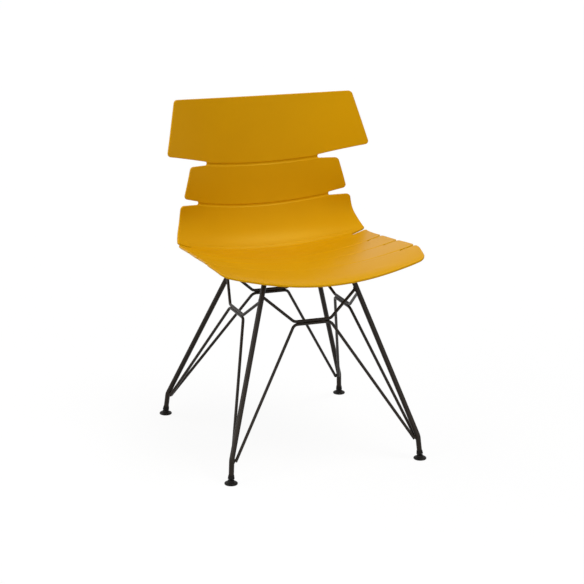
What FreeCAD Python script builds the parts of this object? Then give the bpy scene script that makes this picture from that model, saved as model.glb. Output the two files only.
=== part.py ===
import FreeCAD, Part
import math
import os

os.makedirs("parts", exist_ok=True)

Vector = FreeCAD.Vector
UP = Vector(0, 0, 1)

# Overall sizes of the moulded shell
SHELL_THICKNESS = 5.0
SIDE_REFERENCE = 220.0
SHEET_ROWS = 46
SHEET_COLUMNS = 9
RIM_RADIUS = 1.5
SURFACE_ACCURACY = 0.01
JOIN_ACCURACY = 0.001

# Stations of the sitting surface, from the front lip to above the top edge
# Each one is y and z on the centre line, then y and z at the side reference
FRONT_LIP_END = (-252.0, 431.0, -248.0, 451.0)
FRONT_EDGE = (-235.0, 443.0, -232.0, 465.5)
FRONT_CREST = (-200.0, 448.0, -197.0, 473.5)
SEAT_FRONT = (-138.0, 448.0, -138.0, 475.5)
SEAT_MIDDLE = (-57.0, 442.0, -57.0, 469.3)
SEAT_REAR = (23.0, 431.0, 22.0, 462.8)
SEAT_LOW_POINT = (90.0, 422.0, 84.0, 457.5)
CURVE_START = (138.0, 427.5, 119.0, 461.0)
CURVE_MIDDLE = (171.0, 450.0, 140.0, 480.0)
CURVE_END = (191.0, 483.0, 152.0, 502.0)
LOWER_GROOVE_LEVEL = (202.0, 523.0, 156.0, 530.0)
MIDDLE_PANEL = (207.0, 570.0, 152.5, 577.0)
UPPER_GROOVE_LEVEL = (211.0, 621.0, 152.0, 628.0)
TOP_PANEL_FOOT = (216.0, 665.0, 157.0, 673.0)
TOP_PANEL_MIDDLE = (223.0, 725.0, 167.5, 733.0)
TOP_EDGE = (230.0, 782.0, 180.0, 790.0)
ABOVE_TOP = (233.5, 808.0, 185.5, 816.0)

# Outline of the back, as x and z seen from the front
TOP_CORNER = (222.8, 790.6)
TOP_PANEL_CORNER = (253.9, 667.0)
UPPER_SLOT_TOP = (141.0, 637.5)
UPPER_SLOT_BOTTOM = (141.0, 629.5)
MIDDLE_PANEL_TOP_CORNER = (187.0, 631.5)
MIDDLE_PANEL_BOTTOM_CORNER = (206.5, 558.5)
LOWER_SLOT_TOP = (166.0, 546.0)
LOWER_SLOT_BOTTOM = (166.0, 538.0)
LOWER_PANEL_TOP_CORNER = (215.0, 542.5)
LOWER_PANEL_SIDE = (220.5, 505.0)
LOWER_PANEL_FOOT = (239.5, 459.0)
TOP_EDGE_SAG = 16.1
TOP_EDGE_RADIUS = 2500.0
LOWER_PANEL_SIDE_RADIUS = 110.0
PANEL_CORNER_RADIUS = 9.0
SLOT_END_RADIUS = 3.6

# Outline of the seat, as x and y seen from above
SEAT_FRONT_MIDDLE = -252.5
SEAT_FRONT_SIDE = (205.0, -227.0)
SEAT_FRONT_RADIUS = 1300.0
SEAT_FRONT_SIDE_RADIUS = 90.0
SEAT_FRONT_CORNER = (241.5, -221.0)
SEAT_FRONT_CORNER_RADIUS = 24.0
SEAT_WIDE_POINT = (254.0, -158.0)
SEAT_WIDE_RADIUS = 70.0
SEAT_BACK_CORNER = (238.5, 60.0)
SEAT_END_CORNER = (238.0, 112.0)

# Slots between the fingers at each side of the seat, rearmost first
FINGER_SLOT_PLACES = (113.0, 23.5, -57.0, -138.5)
FINGER_SLOT_INNER_ENDS = (202.0, 203.0, 209.0, 214.0)
FINGER_SLOT_WIDTHS = (6.5, 4.5, 4.5, 4.5)
FINGER_SLOT_ROUNDNESS = 0.9
FINGER_CORNER_RADIUS = 8.0
FINGER_CORNER_INSET = 1.0
FINGER_CORNER_SPREAD = 2.0
FINGER_CORNER_LENGTH = 12.0

# Room that the outlines and cutters have beyond the shell
CUT_CLEARANCE = 40.0
SHEET_CLEARANCE = 10.0
SHEET_HALF_WIDTH = TOP_PANEL_CORNER[0] + SHEET_CLEARANCE
SEAT_CUT_LOW = SEAT_LOW_POINT[1] - CUT_CLEARANCE
SEAT_CUT_HIGH = SEAT_FRONT[3] + CUT_CLEARANCE
SEAT_CUT_HEIGHT = SEAT_CUT_HIGH - SEAT_CUT_LOW
BACK_CUT_NEAR = SEAT_END_CORNER[1]
BACK_CUT_FAR = ABOVE_TOP[0] + CUT_CLEARANCE
FINGER_SLOT_REACH = SEAT_WIDE_POINT[0] + CUT_CLEARANCE

# Soft channels that join the ends of the two back slots
UPPER_GROOVE_CENTRE = 621.0
UPPER_GROOVE_END = (144.0, 633.5)
LOWER_GROOVE_CENTRE = 522.0
LOWER_GROOVE_END = (169.0, 542.0)
GROOVE_RADIUS = 5.5
GROOVE_DEPTH = 1.8

# Faint channels across the seat, in line with the finger slots
SEAT_CHANNEL_CENTRES = (136.0, 30.0, -57.0, -141.0)
SEAT_CHANNEL_RADIUS = 18.0
SEAT_CHANNEL_DEPTH = 0.5

# Round bars of the base
LEG_RADIUS = 6.0
LEG_BEND_RADIUS = 30.0
WIRE_RADIUS = 3.5
WIRE_BEND_RADIUS = 15.0
WELD_GAP = 0.1
WELD_SINK = 0.2

# Places of the leg bars, for the right-hand legs
FOOT_X = 231.3
FOOT_Y = 244.1
BEND_X = 227.5
BEND_Y = 237.6
BEND_Z = 54.0
LEAN_LEVEL = 400.0
FRONT_LEAN_X = 112.0
FRONT_LEAN_Y = 118.0
REAR_LEAN_X = 103.7
REAR_LEAN_Y = 108.8

# Levels and half widths of the bracing wires
FRONT_RUN_HALF = 44.4
FRONT_RUN_Y = -141.3
REAR_RUN_HALF = 44.0
REAR_RUN_Y = 132.4
END_RUN_Z = 325.2
SIDE_RUN_X = 132.5
SIDE_RUN_HALF = 45.4
SIDE_RUN_Z = 323.0
FRONT_WIRE_TOP_Z = 390.0
REAR_WIRE_TOP_Z = 385.0
SIDE_WIRE_FRONT_TOP_Z = 380.0
SIDE_WIRE_REAR_TOP_Z = 372.5
WIRE_FOOT_Z = 48.5
SIDE_WIRE_FOOT_Z = 51.0
WIRE_FOOT_OFFSET = LEG_RADIUS + WIRE_RADIUS - WELD_SINK
SIDE_WIRE_FOOT_INWARD = 4.0

# Flat steel bars that carry the shell
BAR_WIDTH = 30.0
BAR_THICKNESS = 5.0
FRONT_BAR_Z = 428.0
REAR_BAR_Z = 397.0
SCREW_X = 62.0

# Screws, washers, threaded inserts and the bosses under the seat
SCREW_RADIUS = 3.0
SCREW_HEAD_RADIUS = 5.5
SCREW_HEAD_HEIGHT = 3.5
SCREW_SOCKET_RADIUS = 2.0
SCREW_SOCKET_DEPTH = 2.0
SCREW_HOLE_RADIUS = 3.3
SCREW_REACH = 7.0
WASHER_RADIUS = 6.5
WASHER_THICKNESS = 1.2
WASHER_CLEARANCE = 0.2
THREAD_CLEARANCE = 0.05
INSERT_RADIUS = 4.25
INSERT_LENGTH = 7.5
BOSS_RADIUS = 10.0
BOSS_DRAFT = 0.1

# Tilting glides under the legs
BALL_RADIUS = 5.0
BALL_CLEARANCE = 0.3
BALL_Z = 7.0
BALL_NECK_RADIUS = 3.2
SLEEVE_START = 5.5
SLEEVE_LENGTH = 8.0
SLEEVE_WALL = 1.8
SLEEVE_TOP_WALL = 0.7
SLEEVE_RADIUS = LEG_RADIUS + SLEEVE_WALL
SLEEVE_TOP_RADIUS = LEG_RADIUS + SLEEVE_TOP_WALL
SLEEVE_FLOOR = 1.5
PAD_RADIUS = 15.0
PAD_FOOT_RADIUS = 14.2
PAD_SOFT_EDGE = 0.9
PAD_RIM_HEIGHT = 2.8
PAD_SHOULDER_RADIUS = 13.6
PAD_SHOULDER_HEIGHT = 4.2
PAD_NECK_RADIUS = 8.6
PAD_NECK_HEIGHT = 5.6
PAD_COLLAR_RADIUS = 7.2
PAD_COLLAR_HEIGHT = 9.5

STATIONS = (
    FRONT_LIP_END,
    FRONT_EDGE,
    FRONT_CREST,
    SEAT_FRONT,
    SEAT_MIDDLE,
    SEAT_REAR,
    SEAT_LOW_POINT,
    CURVE_START,
    CURVE_MIDDLE,
    CURVE_END,
    LOWER_GROOVE_LEVEL,
    MIDDLE_PANEL,
    UPPER_GROOVE_LEVEL,
    TOP_PANEL_FOOT,
    TOP_PANEL_MIDDLE,
    TOP_EDGE,
    ABOVE_TOP,
)


def mirrored(shape):
    return shape.mirror(Vector(0, 0, 0), Vector(1, 0, 0))


def flipped(point):
    return Vector(-point.x, point.y, point.z)


def corner_arc(before, corner, after, radius):
    """Tangent arc that rounds one corner, as its three points."""
    toward_before = (before - corner).normalize()
    toward_after = (after - corner).normalize()
    half_angle = toward_before.getAngle(toward_after) / 2
    setback = radius / math.tan(half_angle)
    bisector = (toward_before + toward_after).normalize()
    middle = corner + bisector * (radius / math.sin(half_angle) - radius)
    return corner + toward_before * setback, middle, corner + toward_after * setback


def rounded_loop(corners):
    """Closed wire through corners, each given as a point and its rounding radius."""
    arcs = []
    for index, (corner, radius) in enumerate(corners):
        before = corners[index - 1][0]
        after = corners[(index + 1) % len(corners)][0]
        if radius > 0:
            arcs.append(corner_arc(before, corner, after, radius))
        else:
            arcs.append((corner, None, corner))
    edges = []
    for index, (start, middle, end) in enumerate(arcs):
        if middle is not None:
            edges.append(Part.Arc(start, middle, end).toShape())
        following = arcs[(index + 1) % len(arcs)][0]
        if (following - end).Length > JOIN_ACCURACY:
            edges.append(Part.LineSegment(end, following).toShape())
    return Part.Wire(edges)


def bent_path(points, radius):
    """Open wire of straight runs joined by tangent arcs."""
    edges = []
    start = points[0]
    for before, corner, after in zip(points, points[1:], points[2:]):
        arc_start, middle, arc_end = corner_arc(before, corner, after, radius)
        edges.append(Part.LineSegment(start, arc_start).toShape())
        edges.append(Part.Arc(arc_start, middle, arc_end).toShape())
        start = arc_end
    edges.append(Part.LineSegment(start, points[-1]).toShape())
    return Part.Wire(edges)


def round_bar(points, bar_radius, bend_radius):
    path = bent_path(points, bend_radius)
    direction = points[1] - points[0]
    section = Part.Wire([Part.makeCircle(bar_radius, points[0], direction)])
    return path.makePipeShell([section], True, False)


def profile_curve(points):
    """Smooth curve through the stations, run by distance along the centre line."""
    lengths = [0.0]
    for before, after in zip(STATIONS, STATIONS[1:]):
        step = math.hypot(after[0] - before[0], after[1] - before[1])
        lengths.append(lengths[-1] + step)
    curve = Part.BSplineCurve()
    curve.interpolate(Points=points, Parameters=lengths)
    return curve, lengths[-1]


def sitting_surface():
    """Sitting side of the shell as one smooth surface, wider than the shell."""
    centre, length = profile_curve([Vector(0, station[0], station[1]) for station in STATIONS])
    side, length = profile_curve([Vector(0, station[2], station[3]) for station in STATIONS])
    rows = []
    for row in range(SHEET_ROWS):
        distance = length * row / (SHEET_ROWS - 1)
        middle = centre.value(distance)
        edge = side.value(distance)
        points = []
        for column in range(SHEET_COLUMNS):
            x = SHEET_HALF_WIDTH * (2 * column / (SHEET_COLUMNS - 1) - 1)
            share = (x / SIDE_REFERENCE) ** 2
            point = middle + (edge - middle) * share
            points.append(Vector(x, point.y, point.z))
        rows.append(points)
    surface = Part.BSplineSurface()
    surface.interpolate(rows)
    return surface.toShape()


def back_outline():
    """Loop around the back, from slot to slot, seen from the front."""
    right = [
        (TOP_CORNER, PANEL_CORNER_RADIUS),
        (TOP_PANEL_CORNER, PANEL_CORNER_RADIUS),
        (UPPER_SLOT_TOP, SLOT_END_RADIUS),
        (UPPER_SLOT_BOTTOM, SLOT_END_RADIUS),
        (MIDDLE_PANEL_TOP_CORNER, PANEL_CORNER_RADIUS),
        (MIDDLE_PANEL_BOTTOM_CORNER, PANEL_CORNER_RADIUS),
        (LOWER_SLOT_TOP, SLOT_END_RADIUS),
        (LOWER_SLOT_BOTTOM, SLOT_END_RADIUS),
        (LOWER_PANEL_TOP_CORNER, PANEL_CORNER_RADIUS),
        (LOWER_PANEL_SIDE, LOWER_PANEL_SIDE_RADIUS),
        (LOWER_PANEL_FOOT, 0.0),
        ((LOWER_PANEL_FOOT[0], SEAT_CUT_LOW), 0.0),
    ]
    loop = [(Vector(0, BACK_CUT_NEAR, TOP_CORNER[1] - TOP_EDGE_SAG), TOP_EDGE_RADIUS)]
    for (x, z), radius in right:
        loop.append((Vector(x, BACK_CUT_NEAR, z), radius))
    for (x, z), radius in reversed(right):
        loop.append((Vector(-x, BACK_CUT_NEAR, z), radius))
    return rounded_loop(loop)


def seat_outline():
    """Loop around the seat, without its slots, seen from above."""
    right = [
        (SEAT_FRONT_SIDE, SEAT_FRONT_SIDE_RADIUS),
        (SEAT_FRONT_CORNER, SEAT_FRONT_CORNER_RADIUS),
        (SEAT_WIDE_POINT, SEAT_WIDE_RADIUS),
        (SEAT_BACK_CORNER, 0.0),
        (SEAT_END_CORNER, 0.0),
    ]
    loop = []
    for (x, y), radius in right:
        loop.append((Vector(x, y, SEAT_CUT_LOW), radius))
    for (x, y), radius in reversed(right):
        loop.append((Vector(-x, y, SEAT_CUT_LOW), radius))
    loop.append((Vector(0, SEAT_FRONT_MIDDLE, SEAT_CUT_LOW), SEAT_FRONT_RADIUS))
    return rounded_loop(loop)


def seat_side_x(y):
    """Distance of the seat's side from the middle at a place along it."""
    share = (y - SEAT_WIDE_POINT[1]) / (SEAT_BACK_CORNER[1] - SEAT_WIDE_POINT[1])
    return SEAT_WIDE_POINT[0] + (SEAT_BACK_CORNER[0] - SEAT_WIDE_POINT[0]) * min(share, 1.0)


def slot_cutter(place, inner_end, width):
    """Upright slot with a round inner end and rounded finger corners, at the right-hand side."""
    half = width / 2
    corners = []
    for sign in (-1, 1):
        corner_x = seat_side_x(place + sign * (half + FINGER_CORNER_RADIUS)) - FINGER_CORNER_INSET
        flank = place + sign * half
        outside = flank + sign * FINGER_CORNER_LENGTH
        side = [
            (Vector(inner_end, flank, SEAT_CUT_LOW), half * FINGER_SLOT_ROUNDNESS),
            (Vector(corner_x, flank, SEAT_CUT_LOW), FINGER_CORNER_RADIUS),
            (Vector(corner_x + FINGER_CORNER_SPREAD, outside, SEAT_CUT_LOW), 0.0),
            (Vector(FINGER_SLOT_REACH, outside, SEAT_CUT_LOW), 0.0),
        ]
        corners += side[::-sign]
    return Part.Face(rounded_loop(corners)).extrude(UP * SEAT_CUT_HEIGHT)


def nearest_crossing(surface, start, end):
    """Point of the sitting side on a straight line."""
    return Part.makeLine(start, end).distToShape(surface)[1][0][0]


def arc_bar(start, middle, radius):
    """Round bar bent to an arc from one side, through the middle, to the other side."""
    arc = Part.Arc(start, middle, flipped(start))
    sweep = math.degrees(arc.LastParameter - arc.FirstParameter)
    direction = arc.tangent(arc.FirstParameter)[0]
    section = Part.Face(Part.Wire([Part.makeCircle(radius, start, direction)]))
    circle = arc.toShape().Curve
    return section.revolve(circle.Center, circle.Axis, sweep)


def groove_cutter(surface, centre_z, end):
    """Cutter of a groove across the back, given its middle level and its end from the front."""
    forward = Vector(0, GROOVE_DEPTH - GROOVE_RADIUS, 0)
    ends = []
    for x, z in (end, (0, centre_z)):
        point = nearest_crossing(surface, Vector(x, BACK_CUT_NEAR, z), Vector(x, BACK_CUT_FAR, z))
        ends.append(point + forward)
    return arc_bar(ends[0], ends[1], GROOVE_RADIUS)


def channel_cutter(surface, centre_y, end):
    """Cutter of a channel across the seat, given its middle place and its end from above."""
    lift = UP * (SEAT_CHANNEL_RADIUS - SEAT_CHANNEL_DEPTH)
    ends = []
    for x, y in (end, (0, centre_y)):
        point = nearest_crossing(surface, Vector(x, y, SEAT_CUT_LOW), Vector(x, y, SEAT_CUT_HIGH))
        ends.append(point + lift)
    return arc_bar(ends[0], ends[1], SEAT_CHANNEL_RADIUS)


def boss_places():
    places = []
    for side in (-1, 1):
        places.append((Vector(side * SCREW_X, front_bar_y(), 0), FRONT_BAR_Z))
        places.append((Vector(side * SCREW_X, rear_bar_y(), 0), REAR_BAR_Z))
    return places


def leg_line(front):
    """Ball centre, bend and lean direction of a right-hand leg."""
    sign = -1 if front else 1
    ball = Vector(FOOT_X, sign * FOOT_Y, BALL_Z)
    bend = Vector(BEND_X, sign * BEND_Y, BEND_Z)
    if front:
        lean = Vector(FRONT_LEAN_X, sign * FRONT_LEAN_Y, LEAN_LEVEL)
    else:
        lean = Vector(REAR_LEAN_X, sign * REAR_LEAN_Y, LEAN_LEVEL)
    return ball, bend, lean


def leg_point(front, level):
    """Point on a right-hand leg's centre line at a height above its bend."""
    ball, bend, lean = leg_line(front)
    return bend + (lean - bend) * ((level - bend.z) / (lean.z - bend.z))


def lower_leg_point(front, level):
    """Point on a right-hand leg's centre line at a height below its bend."""
    ball, bend, lean = leg_line(front)
    return ball + (bend - ball) * ((level - ball.z) / (bend.z - ball.z))


def front_bar_y():
    return leg_point(True, FRONT_BAR_Z).y


def rear_bar_y():
    return leg_point(False, REAR_BAR_Z).y


def boss(place, level):
    """Boss from the bar up into the shell, a little wider towards the top."""
    foot = place + UP * (level + BAR_THICKNESS)
    height = SEAT_CUT_HIGH - foot.z
    return Part.makeCone(BOSS_RADIUS, BOSS_RADIUS + BOSS_DRAFT * height, height, foot, UP)


def insert_hole(place, level):
    foot = place + UP * (level + BAR_THICKNESS)
    return Part.makeCylinder(INSERT_RADIUS, INSERT_LENGTH, foot, UP)


def blank(surface):
    """Sheet of the shell cut to its outlines and finger slots, with sharp rims."""
    sheet = surface.makeOffsetShape(SHELL_THICKNESS, SURFACE_ACCURACY, fill=True)
    back = Part.Face(back_outline()).extrude(Vector(0, BACK_CUT_FAR - BACK_CUT_NEAR, 0))
    seat = Part.Face(seat_outline()).extrude(UP * SEAT_CUT_HEIGHT)
    shape = sheet.common(back.fuse(seat))
    for place, inner_end, width in zip(FINGER_SLOT_PLACES, FINGER_SLOT_INNER_ENDS, FINGER_SLOT_WIDTHS):
        cutter = slot_cutter(place, inner_end, width)
        shape = shape.cut(cutter).cut(mirrored(cutter))
    return shape.Solids[0]


def with_round_rims(shape):
    """Rounds the rim of the largest face twice: the far side's, then the sitting side's."""
    for _ in range(2):
        largest = max(shape.Faces, key=lambda face: face.Area)
        shape = shape.makeFillet(RIM_RADIUS, largest.OuterWire.Edges)
    return shape.Solids[0]


def shell():
    """Seat and back moulded in one piece, with its slots, channels and bosses."""
    surface = sitting_surface()
    shape = with_round_rims(blank(surface))
    shape = shape.cut(groove_cutter(surface, UPPER_GROOVE_CENTRE, UPPER_GROOVE_END))
    shape = shape.cut(groove_cutter(surface, LOWER_GROOVE_CENTRE, LOWER_GROOVE_END))
    for centre_y, place, inner_end in zip(SEAT_CHANNEL_CENTRES, FINGER_SLOT_PLACES, FINGER_SLOT_INNER_ENDS):
        shape = shape.cut(channel_cutter(surface, centre_y, (inner_end, place)))
    above = surface.extrude(UP * SEAT_CUT_HEIGHT)
    bosses = [boss(place, level).cut(above) for place, level in boss_places()]
    shape = shape.fuse(bosses)
    for place, level in boss_places():
        shape = shape.cut(insert_hole(place, level))
    return shape


def mount_bar(front):
    """Flat bar with round ends that joins a left and a right leg under the seat."""
    level = FRONT_BAR_Z if front else REAR_BAR_Z
    middle = leg_point(front, level)
    half_length = middle.x
    half_width = BAR_WIDTH / 2
    low = Vector(-half_length, middle.y - half_width, level)
    bar = Part.makeBox(half_length * 2, BAR_WIDTH, BAR_THICKNESS, low)
    for side in (-1, 1):
        end = Vector(side * half_length, middle.y, level)
        bar = bar.fuse(Part.makeCylinder(half_width, BAR_THICKNESS, end, UP))
    bar = bar.removeSplitter()
    for side in (-1, 1):
        place = Vector(side * SCREW_X, middle.y, level)
        bar = bar.cut(Part.makeCylinder(SCREW_HOLE_RADIUS, BAR_THICKNESS, place, UP))
    return bar


def leg(front):
    """Right-hand leg bar, bent near the floor and cut flat under its mount bar."""
    level = FRONT_BAR_Z if front else REAR_BAR_Z
    ball, bend, lean = leg_line(front)
    down = (bend - ball).normalize()
    start = ball + down * (SLEEVE_START + SLEEVE_FLOOR)
    top = leg_point(front, level + BAR_THICKNESS * 2)
    bar = round_bar([start, bend, top], LEG_RADIUS, LEG_BEND_RADIUS)
    corner = Vector(0, top.y - BAR_WIDTH, level)
    return bar.cut(Part.makeBox(FOOT_X, BAR_WIDTH * 2, BAR_WIDTH, corner))


def upper_wire(ends, run, bars):
    """Wire that hangs from two legs down to its middle run, cut to the legs."""
    lift = UP * (WIRE_RADIUS + WELD_GAP / 2)
    points = [ends[0], run[0] + lift, run[1] + lift, ends[1]]
    return round_bar(points, WIRE_RADIUS, WIRE_BEND_RADIUS).cut(bars)


def lower_wire(ends, run, bars):
    """Wire that rises from two feet up to its middle run, cut to the legs."""
    drop = UP * (WIRE_RADIUS + WELD_GAP / 2)
    points = [ends[0], run[0] - drop, run[1] - drop, ends[1]]
    return round_bar(points, WIRE_RADIUS, WIRE_BEND_RADIUS).cut(bars)


def cross_wires(front, bars):
    """Upper and lower wires between the left and right legs of one pair."""
    if front:
        run_end = Vector(FRONT_RUN_HALF, FRONT_RUN_Y, END_RUN_Z)
        top = leg_point(front, FRONT_WIRE_TOP_Z)
    else:
        run_end = Vector(REAR_RUN_HALF, REAR_RUN_Y, END_RUN_Z)
        top = leg_point(front, REAR_WIRE_TOP_Z)
    foot = lower_leg_point(front, WIRE_FOOT_Z) - Vector(WIRE_FOOT_OFFSET, 0, 0)
    run = (flipped(run_end), run_end)
    upper = upper_wire((flipped(top), top), run, bars)
    lower = lower_wire((flipped(foot), foot), run, bars)
    return upper, lower


def side_foot(front):
    """Lower end of a right-hand side wire, on the inner face of its leg."""
    sign = 1 if front else -1
    along = math.sqrt(WIRE_FOOT_OFFSET ** 2 - SIDE_WIRE_FOOT_INWARD ** 2)
    offset = Vector(-SIDE_WIRE_FOOT_INWARD, sign * along, 0)
    return lower_leg_point(front, SIDE_WIRE_FOOT_Z) + offset


def side_wires(bars):
    """Upper and lower wires between the front and rear legs of the right side."""
    run = (Vector(SIDE_RUN_X, -SIDE_RUN_HALF, SIDE_RUN_Z), Vector(SIDE_RUN_X, SIDE_RUN_HALF, SIDE_RUN_Z))
    tops = (leg_point(True, SIDE_WIRE_FRONT_TOP_Z), leg_point(False, SIDE_WIRE_REAR_TOP_Z))
    feet = (side_foot(True), side_foot(False))
    return upper_wire(tops, run, bars), lower_wire(feet, run, bars)


def revolved(profile):
    """Solid turned about the upright axis from a profile of radius and height points."""
    points = [Vector(radius, 0, height) for radius, height in profile]
    face = Part.Face(Part.makePolygon(points + [points[0]]))
    return face.revolve(Vector(0, 0, 0), UP, 360)


def glide_sleeve(front):
    """Sleeve over a leg's end, with the ball that the foot pad tilts on."""
    ball, bend, lean = leg_line(front)
    top = SLEEVE_START + SLEEVE_LENGTH
    shape = Part.makeSphere(BALL_RADIUS)
    shape = shape.fuse(Part.makeCylinder(BALL_NECK_RADIUS, SLEEVE_START))
    sleeve = revolved([(0, SLEEVE_START), (SLEEVE_RADIUS, SLEEVE_START), (SLEEVE_TOP_RADIUS, top), (0, top)])
    shape = shape.fuse(sleeve)
    socket = Vector(0, 0, SLEEVE_START + SLEEVE_FLOOR)
    shape = shape.cut(Part.makeCylinder(LEG_RADIUS, SLEEVE_LENGTH, socket))
    shape.Placement = FreeCAD.Placement(ball, FreeCAD.Rotation(UP, bend - ball))
    return shape


def glide_pad(front):
    """Round foot pad with a socket for the ball and a flat underside on the floor."""
    ball, bend, lean = leg_line(front)
    profile = [
        (0, 0),
        (PAD_FOOT_RADIUS, 0),
        (PAD_RADIUS, PAD_SOFT_EDGE),
        (PAD_RADIUS, PAD_RIM_HEIGHT),
        (PAD_SHOULDER_RADIUS, PAD_SHOULDER_HEIGHT),
        (PAD_NECK_RADIUS, PAD_NECK_HEIGHT),
        (PAD_COLLAR_RADIUS, PAD_COLLAR_HEIGHT),
        (0, PAD_COLLAR_HEIGHT),
    ]
    pad = revolved(profile)
    pad = pad.cut(Part.makeSphere(BALL_RADIUS + BALL_CLEARANCE, Vector(0, 0, BALL_Z)))
    pad.translate(Vector(ball.x, ball.y, 0))
    return pad


def screw(place, level):
    """Pan-head screw that goes up through the washer and the bar into its insert."""
    seat = level - WASHER_THICKNESS
    foot = place + UP * (seat - SCREW_HEAD_HEIGHT)
    tip = level + BAR_THICKNESS + SCREW_REACH
    shape = Part.makeCylinder(SCREW_HEAD_RADIUS, SCREW_HEAD_HEIGHT, foot, UP)
    shape = shape.fuse(Part.makeCylinder(SCREW_RADIUS, tip - seat, place + UP * seat, UP))
    return shape.cut(Part.makeCylinder(SCREW_SOCKET_RADIUS, SCREW_SOCKET_DEPTH, foot, UP))


def ring(place, foot, height, outer, inner):
    shape = Part.makeCylinder(outer, height, place + UP * foot, UP)
    return shape.cut(Part.makeCylinder(inner, height, place + UP * foot, UP))


def fasteners():
    """Screws, washers and threaded inserts, each as one group of alike solids."""
    screws = []
    washers = []
    inserts = []
    for place, level in boss_places():
        screws.append(screw(place, level))
        bore = SCREW_RADIUS + WASHER_CLEARANCE
        washers.append(ring(place, level - WASHER_THICKNESS, WASHER_THICKNESS, WASHER_RADIUS, bore))
        thread = SCREW_RADIUS + THREAD_CLEARANCE
        inserts.append(ring(place, level + BAR_THICKNESS, INSERT_LENGTH, INSERT_RADIUS, thread))
    return Part.makeCompound(screws), Part.makeCompound(washers), Part.makeCompound(inserts)


def save(name, shape):
    shape.exportStep("parts/" + name + ".step")
    print(name, len(shape.Solids), shape.isValid(), round(shape.Volume, 1))


def main():
    front_right = leg(True)
    rear_right = leg(False)
    front_left = mirrored(front_right)
    rear_left = mirrored(rear_right)
    bars = [front_right, rear_right, front_left, rear_left]
    save("shell", shell())
    save("leg_front_right", front_right)
    save("leg_front_left", front_left)
    save("leg_rear_right", rear_right)
    save("leg_rear_left", rear_left)
    upper, lower = cross_wires(True, bars)
    save("upper_wire_front", upper)
    save("lower_wire_front", lower)
    upper, lower = cross_wires(False, bars)
    save("upper_wire_rear", upper)
    save("lower_wire_rear", lower)
    upper, lower = side_wires(bars)
    save("upper_wire_right", upper)
    save("lower_wire_right", lower)
    save("upper_wire_left", mirrored(upper))
    save("lower_wire_left", mirrored(lower))
    save("mount_bar_front", mount_bar(True))
    save("mount_bar_rear", mount_bar(False))
    screws, washers, inserts = fasteners()
    save("mount_screws", screws)
    save("mount_washers", washers)
    save("threaded_inserts", inserts)
    for front, place in ((True, "front"), (False, "rear")):
        sleeve = glide_sleeve(front)
        pad = glide_pad(front)
        save("glide_sleeve_" + place + "_right", sleeve)
        save("glide_sleeve_" + place + "_left", mirrored(sleeve))
        save("glide_pad_" + place + "_right", pad)
        save("glide_pad_" + place + "_left", mirrored(pad))


main()
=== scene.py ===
import logging
import math
from dataclasses import dataclass, field
from enum import Enum

import bpy
import numpy as np
from mathutils import Matrix, Vector
from mathutils.bvhtree import BVHTree


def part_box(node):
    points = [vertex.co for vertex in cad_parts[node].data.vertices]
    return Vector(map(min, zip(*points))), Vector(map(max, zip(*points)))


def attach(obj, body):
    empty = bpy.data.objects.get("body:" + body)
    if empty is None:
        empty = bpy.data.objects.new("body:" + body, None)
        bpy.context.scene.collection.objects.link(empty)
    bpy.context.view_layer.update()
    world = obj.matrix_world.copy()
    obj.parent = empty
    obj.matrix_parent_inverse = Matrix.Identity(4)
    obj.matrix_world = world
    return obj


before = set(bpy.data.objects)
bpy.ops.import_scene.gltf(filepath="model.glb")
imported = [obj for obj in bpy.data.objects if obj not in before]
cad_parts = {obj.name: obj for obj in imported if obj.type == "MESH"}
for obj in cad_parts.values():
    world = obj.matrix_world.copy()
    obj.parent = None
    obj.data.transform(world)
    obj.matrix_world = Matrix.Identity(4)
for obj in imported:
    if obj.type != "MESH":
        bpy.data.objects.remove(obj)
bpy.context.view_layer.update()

log = logging.getLogger("shell_chair")
logging.basicConfig(level=logging.INFO, format="%(message)s")

Triple = tuple[float, float, float]
Colour = Triple
Socket = bpy.types.NodeSocket

CHAIR = "chair"
SIDES = ("right", "left")
ENDS = ("front", "rear")
CORNERS = tuple(f"{end}_{side}" for end in ENDS for side in SIDES)

WHITE = (1.0, 1.0, 1.0, 1.0)
PATTERN_LOW = 0.3
PATTERN_HIGH = 0.7
SMOOTH_DETAIL = 1.0
FINE_DETAIL = 2.0
CLOUDY_DETAIL = 3.0


class Slot(Enum):
    """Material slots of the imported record."""

    SHELL = "shell_plastic"
    COAT = "powder_coat"
    ZINC = "zinc_plated"
    BRASS = "brass"
    GLIDE = "glide_plastic"


Materials = dict[Slot, bpy.types.Material]


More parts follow.
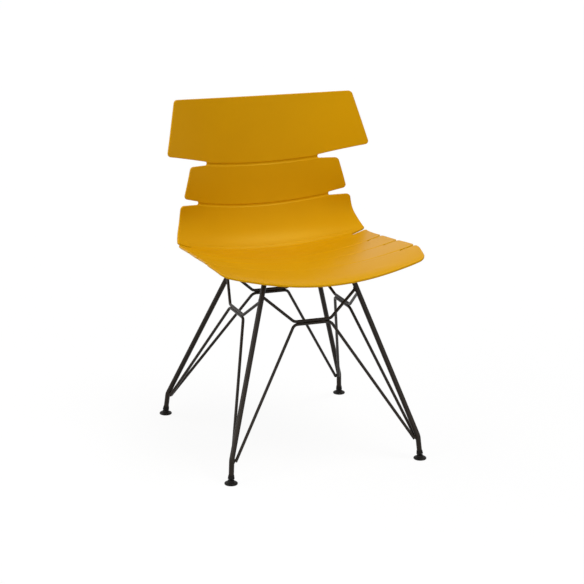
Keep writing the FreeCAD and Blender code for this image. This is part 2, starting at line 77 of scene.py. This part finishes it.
class Sketch:
    """A node tree with short calls for the few things that the finishes need."""

    def __init__(self, name: str) -> None:
        """Starts an empty material tree.

        Args:
            name: name of the new material.
        """
        self.material = bpy.data.materials.new(name)
        self.material.use_nodes = True
        self.tree = self.material.node_tree
        self.tree.nodes.clear()
        self.output = self.tree.nodes.new("ShaderNodeOutputMaterial")
        self.place = self.tree.nodes.new("ShaderNodeTexCoord").outputs["Object"]

    def node(
        self, kind: str, links: dict[str | int, Socket] | None = None, **values: object
    ) -> bpy.types.Node:
        """Adds one node.

        Args:
            kind: Blender's name of the node type.
            links: name or number of an input socket to the output socket that feeds it.
            values: node properties, or input values where no property has the name.

        Returns:
            The new node.
        """
        made = self.tree.nodes.new(kind)
        for key, value in values.items():
            if hasattr(made, key):
                setattr(made, key, value)
            else:
                made.inputs[key.replace("_", " ")].default_value = value
        for key, source in (links or {}).items():
            self.tree.links.new(source, made.inputs[key])
        return made

    def noise(
        self, cells: float, detail: float = FINE_DETAIL, stretch: Triple = (1.0, 1.0, 1.0)
    ) -> Socket:
        """Adds a noise pattern on object coordinates.

        Args:
            cells: cells per metre.
            detail: octaves of the pattern.
            stretch: scale of the coordinates along each axis.

        Returns:
            The grey output of the pattern.
        """
        mapped = self.node("ShaderNodeMapping", {"Vector": self.place})
        mapped.inputs["Scale"].default_value = stretch
        links = {"Vector": mapped.outputs["Vector"]}
        return self.node("ShaderNodeTexNoise", links, Scale=cells, Detail=detail).outputs["Fac"]

    def spread(self, source: Socket, middle: float, reach: float) -> Socket:
        """Maps a noise pattern onto a range of values.

        Args:
            source: grey pattern, mostly between PATTERN_LOW and PATTERN_HIGH.
            middle: middle of the range.
            reach: how far the range goes to each side of it.

        Returns:
            The mapped output.
        """
        ramp = self.node("ShaderNodeMapRange", {"Value": source})
        ramp.inputs["From Min"].default_value = PATTERN_LOW
        ramp.inputs["From Max"].default_value = PATTERN_HIGH
        ramp.inputs["To Min"].default_value = middle - reach
        ramp.inputs["To Max"].default_value = middle + reach
        return ramp.outputs["Result"]

    def two_tone(self, source: Socket, dark: Colour, light: Colour) -> Socket:
        """Blends two colours by a pattern.

        Args:
            source: grey pattern, mostly between PATTERN_LOW and PATTERN_HIGH.
            dark: colour at the low end.
            light: colour at the high end.

        Returns:
            The colour output.
        """
        ramp = self.node("ShaderNodeValToRGB", {"Fac": source})
        low, high = ramp.color_ramp.elements
        low.position, low.color = PATTERN_LOW, (*dark, 1.0)
        high.position, high.color = PATTERN_HIGH, (*light, 1.0)
        return ramp.outputs["Color"]

    def grain(self, layers: list[tuple[Socket, float]]) -> Socket:
        """Stacks bump layers.

        Args:
            layers: height pattern and depth in metres of each layer.

        Returns:
            The normal output of the last layer.
        """
        normal = None
        for height, depth in layers:
            links = {"Height": height} if normal is None else {"Height": height, "Normal": normal}
            normal = self.node("ShaderNodeBump", links, Distance=depth).outputs["Normal"]
        return normal

    def finish(self, shader: Socket) -> bpy.types.Material:
        """Joins the shader to the output and returns the material."""
        self.tree.links.new(shader, self.output.inputs["Surface"])
        return self.material


@dataclass(frozen=True)
class MouldedPlastic:
    """Matt plastic that is coloured right through, with the fine grain of an etched mould."""

    name: str
    light: Colour
    dark: Colour
    roughness: float
    gloss: float
    gloss_tint: Colour = (1.0, 1.0, 1.0)
    roughness_reach: float = 0.05
    refraction: float = 1.49
    tone_cells: float = 9.0
    grain_cells: float = 1600.0
    grain_depth: float = 0.00004
    flow_depth: float = 0.0006

    def material(self) -> bpy.types.Material:
        """Builds the material.

        Returns:
            The material, ready for a piece.
        """
        sketch = Sketch(self.name)
        tone = sketch.noise(self.tone_cells, CLOUDY_DETAIL)
        fine = sketch.noise(self.grain_cells)
        layers = [(sketch.noise(self.tone_cells), self.flow_depth), (fine, self.grain_depth)]
        links = {
            "Base Color": sketch.two_tone(tone, self.dark, self.light),
            "Roughness": sketch.spread(fine, self.roughness, self.roughness_reach),
            "Normal": sketch.grain(layers),
        }
        shader = sketch.node("ShaderNodeBsdfPrincipled", links, IOR=self.refraction)
        shader.inputs["Specular IOR Level"].default_value = self.gloss
        shader.inputs["Specular Tint"].default_value = (*self.gloss_tint, 1.0)
        return sketch.finish(shader.outputs["BSDF"])


@dataclass(frozen=True)
class PowderCoat:
    """Baked coating with a fine orange-peel surface over steel."""

    name: str
    light: Colour
    dark: Colour
    roughness: float
    gloss: float
    roughness_reach: float = 0.03
    refraction: float = 1.5
    tone_cells: float = 60.0
    peel_cells: float = 700.0
    peel_depth: float = 0.00002
    fine_cells: float = 2800.0
    fine_depth: float = 0.0000025

    def material(self) -> bpy.types.Material:
        """Builds the material.

        Returns:
            The material, ready for a piece.
        """
        sketch = Sketch(self.name)
        peel = sketch.noise(self.peel_cells, SMOOTH_DETAIL)
        fine = sketch.noise(self.fine_cells)
        tone = sketch.noise(self.tone_cells, CLOUDY_DETAIL)
        links = {
            "Base Color": sketch.two_tone(tone, self.dark, self.light),
            "Roughness": sketch.spread(peel, self.roughness, self.roughness_reach),
            "Normal": sketch.grain([(peel, self.peel_depth), (fine, self.fine_depth)]),
        }
        shader = sketch.node("ShaderNodeBsdfPrincipled", links, IOR=self.refraction)
        shader.inputs["Specular IOR Level"].default_value = self.gloss
        return sketch.finish(shader.outputs["BSDF"])


@dataclass(frozen=True)
class TurnedMetal:
    """Bare or plated metal with fine tool marks round its axis and a slightly cloudy polish."""

    name: str
    light: Colour
    dark: Colour
    roughness: float
    roughness_reach: float = 0.07
    cloud_cells: float = 220.0
    mark_cells: float = 2600.0
    mark_stretch: Triple = (0.15, 0.15, 1.0)
    mark_depth: float = 0.00001

    def material(self) -> bpy.types.Material:
        """Builds the material.

        Returns:
            The material, ready for a piece.
        """
        sketch = Sketch(self.name)
        marks = sketch.noise(self.mark_cells, stretch=self.mark_stretch)
        cloud = sketch.noise(self.cloud_cells, CLOUDY_DETAIL)
        links = {
            "Base Color": sketch.two_tone(cloud, self.dark, self.light),
            "Roughness": sketch.spread(cloud, self.roughness, self.roughness_reach),
            "Normal": sketch.grain([(marks, self.mark_depth)]),
        }
        shader = sketch.node("ShaderNodeBsdfPrincipled", links, Metallic=1.0)
        return sketch.finish(shader.outputs["BSDF"])


FINISHES = {
    Slot.SHELL: MouldedPlastic(
        name="mustard_shell_plastic",
        light=(0.585, 0.282, 0.0),
        dark=(0.565, 0.268, 0.0),
        roughness=0.43,
        gloss=0.30,
        gloss_tint=(1.0, 1.0, 0.15),
    ),
    Slot.COAT: PowderCoat(
        name="warm_black_powder_coat",
        light=(0.017, 0.011, 0.0065),
        dark=(0.013, 0.0085, 0.005),
        roughness=0.33,
        gloss=0.17,
    ),
    Slot.ZINC: TurnedMetal(
        name="zinc_plated_steel",
        light=(0.66, 0.67, 0.69),
        dark=(0.52, 0.53, 0.55),
        roughness=0.32,
    ),
    Slot.BRASS: TurnedMetal(
        name="turned_brass",
        light=(0.66, 0.46, 0.17),
        dark=(0.52, 0.34, 0.11),
        roughness=0.30,
    ),
    Slot.GLIDE: MouldedPlastic(
        name="black_glide_plastic",
        light=(0.007, 0.0058, 0.0048),
        dark=(0.005, 0.0042, 0.0036),
        roughness=0.48,
        gloss=0.10,
    ),
}


def dress(names: list[str], slot: Slot, materials: Materials) -> None:
    """Gives one finish to some CAD nodes.

    Args:
        names: CAD nodes that get the finish.
        slot: material slot whose finish they get.
        materials: every finish, already built.
    """
    for name in names:
        for mesh_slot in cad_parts[name].material_slots:
            mesh_slot.material = materials[slot]
        log.info("dressed %s with %s", name, materials[slot].name)


def node_points(name: str) -> np.ndarray:
    """Reads the corners of a CAD node's mesh.

    Args:
        name: the CAD node.

    Returns:
        One row for each corner, in metres.
    """
    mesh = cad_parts[name].data
    points = np.zeros(len(mesh.vertices) * 3)
    mesh.vertices.foreach_get("co", points)
    return points.reshape(-1, 3)


def node_tree(name: str) -> BVHTree:
    """Search tree over a CAD node's faces."""
    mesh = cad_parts[name].data
    return BVHTree.FromPolygons([v.co for v in mesh.vertices], [p.vertices for p in mesh.polygons])


def touching_point(moving: str, still: str) -> Vector:
    """Finds the point halfway across the narrowest gap between two CAD nodes.

    Args:
        moving: node whose corners are tried.
        still: node that they are held against.

    Returns:
        The point, in metres.
    """
    tree = node_tree(still)
    best, smallest = Vector(), math.inf
    for corner in map(Vector, node_points(moving)):
        found, _, _, gap = tree.find_nearest(corner)
        if gap < smallest:
            best, smallest = (corner + found) / 2.0, gap
    return best


def back_vector(heading: float, height: float) -> Vector:
    """Finds the way from the chair back to a lamp or a camera.

    Args:
        heading: turn about the upright axis, in degrees, 0 from the front.
        height: angle above the floor, in degrees.

    Returns:
        The direction, one metre long.
    """
    turn, rise = math.radians(heading), math.radians(height)
    outward = math.cos(rise)
    return Vector((math.sin(turn) * outward, -math.cos(turn) * outward, math.sin(rise)))


def select_only(*objects: bpy.types.Object) -> None:
    """Selects these objects and nothing else, the first of them active.

    Args:
        objects: the objects to select.
    """
    if bpy.context.mode != "OBJECT":
        bpy.ops.object.mode_set(mode="OBJECT")
    bpy.ops.object.select_all(action="DESELECT")
    for piece in objects:
        piece.select_set(True)
    bpy.context.view_layer.objects.active = objects[0]


def apply_modifier(piece: bpy.types.Object, kind: str, **values: object) -> None:
    """Adds a modifier to a piece and applies it.

    Args:
        piece: object that is changed.
        kind: Blender's name of the modifier type.
        values: properties of the modifier.
    """
    select_only(piece)
    modifier = piece.modifiers.new(kind.lower(), kind)
    for key, value in values.items():
        setattr(modifier, key, value)
    bpy.ops.object.modifier_apply(modifier=modifier.name)


@dataclass
class WeldBead:
    """Short run of weld ripples, modelled once and copied to each joint of the base."""

    ripples: int = 5
    pitch: float = 0.0021
    half_width: float = 0.0030
    half_height: float = 0.0026
    half_length_share: float = 0.95
    end_taper: float = 0.07
    drop_segments: int = 20
    drop_rings: int = 12
    voxel: float = 0.00042
    smooth_factor: float = 0.5
    smooth_rounds: int = 2
    model: bpy.types.Object | None = None

    def ripple(self, number: int) -> bpy.types.Object:
        """Adds one flattened drop of metal, smaller towards the ends of the bead.

        Args:
            number: place of the drop along the bead.

        Returns:
            The drop, on the bead's own axis.
        """
        off_middle = number - (self.ripples - 1) / 2.0
        size = 1.0 - self.end_taper * off_middle * off_middle
        bpy.ops.mesh.primitive_uv_sphere_add(
            segments=self.drop_segments,
            ring_count=self.drop_rings,
            radius=1.0,
            location=(off_middle * self.pitch, 0.0, 0.0),
        )
        drop = bpy.context.active_object
        half_length = self.pitch * self.half_length_share
        drop.scale = (half_length * size, self.half_width * size, self.half_height * size)
        bpy.ops.object.transform_apply(location=True, rotation=True, scale=True)
        return drop

    def build(self) -> bpy.types.Object:
        """Joins the drops to one closed bead.

        Returns:
            The bead that the copies are made from.
        """
        bpy.ops.object.select_all(action="DESELECT")
        select_only(*[self.ripple(number) for number in range(self.ripples)])
        bpy.ops.object.join()
        self.model = bpy.context.active_object
        self.model.name = "weld_bead"
        apply_modifier(self.model, "REMESH", mode="VOXEL", voxel_size=self.voxel)
        apply_modifier(
            self.model, "SMOOTH", factor=self.smooth_factor, iterations=self.smooth_rounds
        )
        select_only(self.model)
        bpy.ops.object.shade_smooth()
        return self.model

    def copy_to(self, name: str, place: Vector, along: Vector) -> bpy.types.Object:
        """Puts one copy of the bead on a joint.

        Args:
            name: name of the copy.
            place: middle of the joint, in metres.
            along: direction of the bead.

        Returns:
            The copy, with its place in its mesh.
        """
        bead = self.model.copy()
        bead.data = self.model.data.copy()
        bead.name = name
        turn = along.normalized().to_track_quat("X", "Z").to_matrix().to_4x4()
        bead.data.transform(Matrix.Translation(place) @ turn)
        bpy.context.scene.collection.objects.link(bead)
        return bead


@dataclass
class WireBase:
    """Four leg bars, eight bracing wires and two mount bars, welded to one base."""

    mount_bars: tuple[str, ...] = ("mount_bar_front", "mount_bar_rear")
    run_spread: float = 0.026
    run_depth: float = 0.0005
    leg_top_depth: float = 0.002
    knee_low: float = 0.055
    knee_high: float = 0.09
    weld: WeldBead = field(default_factory=WeldBead)

    def legs(self) -> list[str]:
        """Names of the leg bars."""
        return [f"leg_{corner}" for corner in CORNERS]

    def wires(self) -> list[str]:
        """Names of the bracing wires."""
        return [f"{level}_wire_{side}" for level in ("upper", "lower") for side in ENDS + SIDES]

    def legs_of(self, wire: str) -> list[str]:
        """Names of the two legs that a wire is welded to."""
        side = wire.rsplit("_", 1)[1]
        return [leg for leg in self.legs() if side in leg]

    def dress(self, materials: Materials) -> None:
        """Powder-coats the whole base."""
        dress([*self.legs(), *self.wires(), *self.mount_bars], Slot.COAT, materials)

    def leg_direction(self, leg: str) -> Vector:
        """Finds the direction of a leg's long run, upwards.

        Args:
            leg: name of the leg bar.

        Returns:
            The direction, one metre long.
        """
        points = node_points(leg)
        heights = points[:, 2]
        top = points[heights > heights.max() - self.leg_top_depth].mean(axis=0)
        knee = points[(heights > self.knee_low) & (heights < self.knee_high)].mean(axis=0)
        return Vector(top - knee).normalized()

    def end_joints(self) -> list[tuple[str, Vector, Vector]]:
        """Finds the welds between the wire ends and the legs.

        Returns:
            Name, place and direction of each weld.
        """
        return [
            (
                f"weld_{wire}_{leg.removeprefix('leg_')}",
                touching_point(wire, leg),
                self.leg_direction(leg),
            )
            for wire in self.wires()
            for leg in self.legs_of(wire)
        ]

    def run_joints(self, side: str) -> list[tuple[str, Vector, Vector]]:
        """Finds the two welds that hold an upper wire's middle run on the lower wire's.

        Args:
            side: side of the base whose wires are joined.

        Returns:
            Name, place and direction of each weld.
        """
        low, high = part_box(f"upper_wire_{side}")
        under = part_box(f"lower_wire_{side}")[1]
        level = (low.z + under.z) / 2.0
        points = node_points(f"upper_wire_{side}")
        run = points[points[:, 2] < low.z + self.run_depth].mean(axis=0)
        if side in ENDS:
            along, across = Vector((1, 0, 0)), Vector((0, run[1], level))
        else:
            along, across = Vector((0, 1, 0)), Vector((run[0], 0, level))
        middle = along * ((low + high) / 2.0).dot(along) + across
        return [
            (f"weld_run_{side}_{number}", middle + along * self.run_spread * way, along)
            for number, way in enumerate((-1.0, 1.0), 1)
        ]

    def build(self, materials: Materials) -> None:
        """Dresses the base and adds its weld beads.

        Args:
            materials: every finish, already built.
        """
        self.dress(materials)
        model = self.weld.build()
        model.data.materials.append(materials[Slot.COAT])
        joints = self.end_joints()
        for side in ENDS + SIDES:
            joints += self.run_joints(side)
        for name, place, along in joints:
            bead = self.weld.copy_to(name, place, along)
            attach(bead, CHAIR)
            log.info("built %s at %.3f %.3f %.3f", name, *place)
        bpy.data.objects.remove(model)


@dataclass
class MouldedShell:
    """Seat and back in one moulding, with its threaded inserts."""

    moulding: str = "shell"
    inserts: str = "threaded_inserts"

    def build(self, materials: Materials) -> None:
        """Dresses the shell and the brass in its bosses."""
        dress([self.moulding], Slot.SHELL, materials)
        dress([self.inserts], Slot.BRASS, materials)


@dataclass
class Fastenings:
    """Screws and washers that hold the shell on its two mount bars."""

    screws: str = "mount_screws"
    washers: str = "mount_washers"

    def build(self, materials: Materials) -> None:
        """Dresses the screws and washers."""
        dress([self.screws, self.washers], Slot.ZINC, materials)


@dataclass
class Glides:
    """Tilting feet at the leg ends."""

    sleeve: str = "glide_sleeve"
    pad: str = "glide_pad"

    def build(self, materials: Materials) -> None:
        """Dresses the sleeves and the pads."""
        for piece in (self.sleeve, self.pad):
            dress([f"{piece}_{corner}" for corner in CORNERS], Slot.GLIDE, materials)


@dataclass
class Lamp:
    """One soft lamp, its strength in watts per square metre and its angles in degrees."""

    name: str
    strength: float
    softness: float
    heading: float
    height: float
    distance: float = 3.0

    def build(self) -> None:
        """Adds the lamp, turned towards the object."""
        light = bpy.data.lights.new(self.name, "SUN")
        light.energy = self.strength
        light.angle = math.radians(self.softness)
        lamp = bpy.data.objects.new(self.name, light)
        back = back_vector(self.heading, self.height)
        lamp.rotation_euler = back.to_track_quat("Z", "Y").to_euler()
        lamp.location = back * self.distance
        bpy.context.scene.collection.objects.link(lamp)


@dataclass
class Studio:
    """Pale floor, white surroundings and soft lamps."""

    floor_half: float = 40.0
    floor_gap: float = 0.0002
    floor_grey: float = 0.45
    floor_seen_grey: float = 0.92
    floor_whitening: float = 0.90
    seen_level: float = 1.0
    ambient: float = 0.22
    lamps: tuple[Lamp, ...] = (
        Lamp("overhead_lamp", strength=1.54, softness=32.0, heading=48.0, height=71.0),
        Lamp("front_lamp", strength=0.95, softness=36.0, heading=-72.0, height=26.0),
        Lamp("low_lamp", strength=0.80, softness=60.0, heading=5.0, height=18.0),
        Lamp("rear_lamp", strength=1.15, softness=60.0, heading=-120.0, height=42.0),
    )

    def floor_material(self) -> bpy.types.Material:
        """Builds the floor's material, darker as a source of bounced light than it looks.

        Returns:
            The material.
        """
        sketch = Sketch("pale_floor")
        path = sketch.node("ShaderNodeLightPath")
        links = {0: path.outputs["Is Camera Ray"], 1: path.outputs["Is Glossy Ray"]}
        seen = sketch.node("ShaderNodeMath", links, operation="MAXIMUM").outputs[0]
        grey = sketch.node("ShaderNodeMapRange", {"Value": seen})
        grey.inputs["To Min"].default_value = self.floor_grey
        grey.inputs["To Max"].default_value = self.floor_seen_grey
        matt = sketch.node("ShaderNodeBsdfDiffuse", {"Color": grey.outputs["Result"]})
        white = sketch.node("ShaderNodeEmission", Strength=self.seen_level)
        share = sketch.node("ShaderNodeMath", {0: seen}, operation="MULTIPLY")
        share.inputs[1].default_value = self.floor_whitening
        links = {0: share.outputs[0], 1: matt.outputs[0], 2: white.outputs[0]}
        return sketch.finish(sketch.node("ShaderNodeMixShader", links).outputs[0])

    def floor(self) -> None:
        """Adds the floor, which keeps a pale shadow."""
        bpy.ops.object.select_all(action="DESELECT")
        bpy.ops.mesh.primitive_plane_add(
            size=self.floor_half * 2.0, location=(0.0, 0.0, -self.floor_gap)
        )
        plane = bpy.context.active_object
        plane.name = "studio_floor"
        bpy.ops.object.transform_apply(location=True, rotation=True, scale=True)
        plane.data.materials.append(self.floor_material())

    def surroundings(self) -> None:
        """Adds a world that is white to look at and in reflections, and a plain level as light."""
        world = bpy.data.worlds.new("studio_world")
        world.use_nodes = True
        bpy.context.scene.world = world
        tree = world.node_tree
        tree.nodes.clear()
        path = tree.nodes.new("ShaderNodeLightPath")
        level = None
        for ray in ("Is Glossy Ray", "Is Transmission Ray", "Is Camera Ray"):
            choice = tree.nodes.new("ShaderNodeMapRange")
            choice.inputs["To Min"].default_value = self.ambient
            choice.inputs["To Max"].default_value = self.seen_level
            tree.links.new(path.outputs[ray], choice.inputs["Value"])
            if level is not None:
                tree.links.new(level, choice.inputs["To Min"])
            level = choice.outputs["Result"]
        light = tree.nodes.new("ShaderNodeBackground")
        light.inputs["Color"].default_value = WHITE
        tree.links.new(level, light.inputs["Strength"])
        output = tree.nodes.new("ShaderNodeOutputWorld")
        tree.links.new(light.outputs[0], output.inputs["Surface"])

    def build(self) -> None:
        """Adds floor, surroundings and lamps."""
        self.floor()
        self.surroundings()
        for lamp in self.lamps:
            lamp.build()
        bpy.context.scene.view_settings.view_transform = "Standard"


@dataclass
class PhotoCamera:
    """Camera at the photograph's viewing angle."""

    place: Triple = (-1.4685, -3.7780, 1.5188)
    azimuth: float = -21.3
    elevation: float = 16.0
    roll: float = 0.6
    lens: float = 111.26
    sensor: float = 36.0

    def axes(self) -> tuple[Vector, Vector, Vector]:
        """Finds the camera's own axes.

        Returns:
            Its right, up and back directions.
        """
        turn, lean = math.radians(self.azimuth), math.radians(self.roll)
        back = back_vector(self.azimuth, self.elevation)
        level = Vector((math.cos(turn), math.sin(turn), 0.0))
        upright = back.cross(level)
        right = level * math.cos(lean) + upright * math.sin(lean)
        up = upright * math.cos(lean) - level * math.sin(lean)
        return right, up, back

    def build(self) -> None:
        """Adds the camera and makes it the scene's own."""
        data = bpy.data.cameras.new("photo_camera")
        data.lens = self.lens
        data.sensor_width = self.sensor
        camera = bpy.data.objects.new("photo_camera", data)
        turned = Matrix(self.axes()).transposed().to_4x4()
        camera.matrix_world = Matrix.Translation(self.place) @ turned
        bpy.context.scene.collection.objects.link(camera)
        bpy.context.scene.camera = camera


def main() -> None:
    """Builds the chair's looks piece by piece."""
    PhotoCamera().build()
    Studio().build()
    materials = {slot: finish.material() for slot, finish in FINISHES.items()}
    for assembly in (MouldedShell(), WireBase(), Fastenings(), Glides()):
        assembly.build(materials)


if __name__ == "__main__":
    main()
